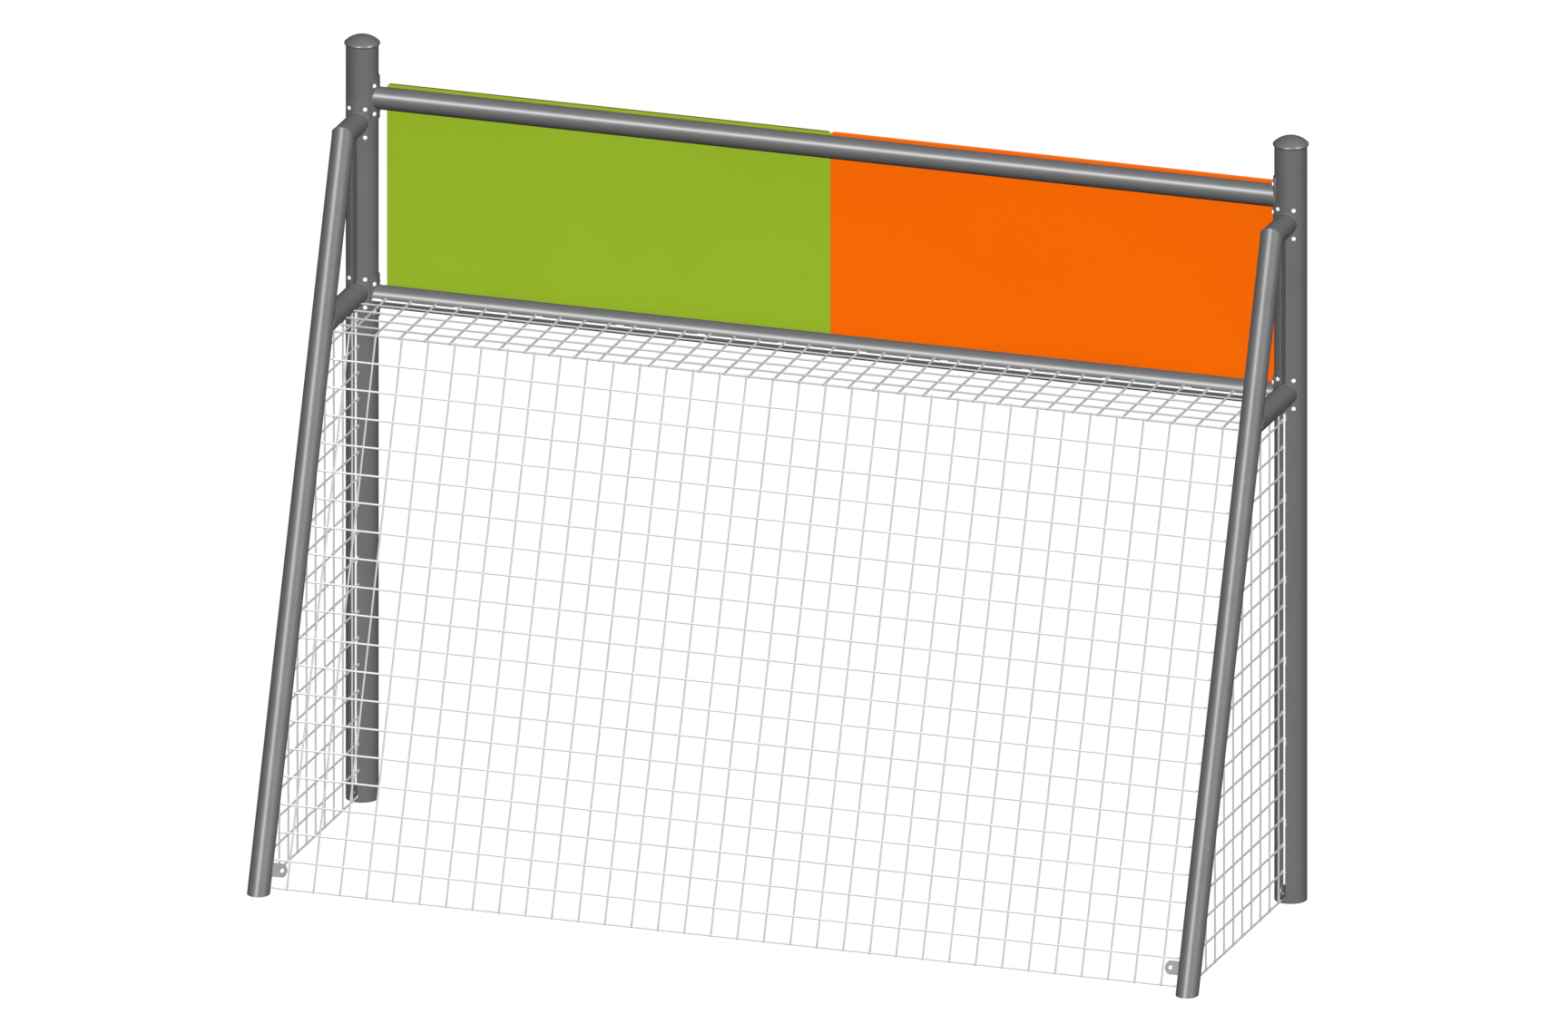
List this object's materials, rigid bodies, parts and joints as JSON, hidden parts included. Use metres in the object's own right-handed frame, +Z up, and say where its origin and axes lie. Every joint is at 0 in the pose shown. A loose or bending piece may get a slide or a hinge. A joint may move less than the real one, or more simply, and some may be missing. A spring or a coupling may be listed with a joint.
{
  "type": "sports goal with rebound board",
  "caption": "Fixed steel ball goal with a two-colour rebound board above its mouth and a taut rope net behind, on round posts and sloped side struts.",
  "frame": {"origin": "on the ground, at the centre of the outer dimensions", "axes": "+X along the crossbars to the right seen from behind the goal, +Y from the net towards the pitch, +Z up"},
  "size_m": [3.909, 1.3433, 3.092],
  "materials": {
    "frame_paint": "semi-gloss powder coat, fine orange peel",
    "board_green": "satin, fine grain",
    "board_orange": "satin, fine grain",
    "net_rope": "twisted three-strand rope",
    "rod_white": "white powder coat",
    "white_plastic": "gloss",
    "zinc_steel": "zinc plated",
    "eye_wire": "galvanised, dull"
  },
  "bodies": {
    "root": {"left_post": "frame_paint", "right_post": "frame_paint", "left_post_cap": "frame_paint", "right_post_cap": "frame_paint", "upper_crossbar": "frame_paint", "lower_crossbar": "frame_paint", "upper_left_bar_saddle": "frame_paint", "upper_right_bar_saddle": "frame_paint", "lower_left_bar_saddle": "frame_paint", "lower_right_bar_saddle": "frame_paint", "left_strut": "frame_paint", "right_strut": "frame_paint", "upper_left_stub": "frame_paint", "upper_right_stub": "frame_paint", "lower_left_stub": "frame_paint", "lower_right_stub": "frame_paint", "upper_left_stub_saddle": "frame_paint", "upper_right_stub_saddle": "frame_paint", "lower_left_stub_saddle": "frame_paint", "lower_right_stub_saddle": "frame_paint", "left_web_plate": "frame_paint", "right_web_plate": "frame_paint", "saddle_bolts": "zinc_steel", "saddle_bolt_covers": "white_plastic", "saddle_rivet_nuts": "zinc_steel", "green_board": "board_green", "orange_board": "board_orange", "board_bolts": "zinc_steel", "board_washers": "zinc_steel", "board_rivet_nuts": "zinc_steel", "left_net_rod": "rod_white", "right_net_rod": "rod_white", "roof_net_rod": "rod_white", "left_rod_holders": "rod_white", "right_rod_holders": "rod_white", "roof_rod_holders": "rod_white", "left_strut_lug": "frame_paint", "right_strut_lug": "frame_paint", "left_post_lug": "frame_paint", "right_post_lug": "frame_paint", "back_net": "net_rope", "roof_net": "net_rope", "left_net": "net_rope", "right_net": "net_rope", "left_strut_eyes": "eye_wire", "right_strut_eyes": "eye_wire", "left_stub_eyes": "eye_wire", "right_stub_eyes": "eye_wire", "left_post_eye": "eye_wire", "right_post_eye": "eye_wire", "left_net_ties": "eye_wire", "right_net_ties": "eye_wire", "roof_net_ties": "eye_wire"}
  },
  "joints": []
}
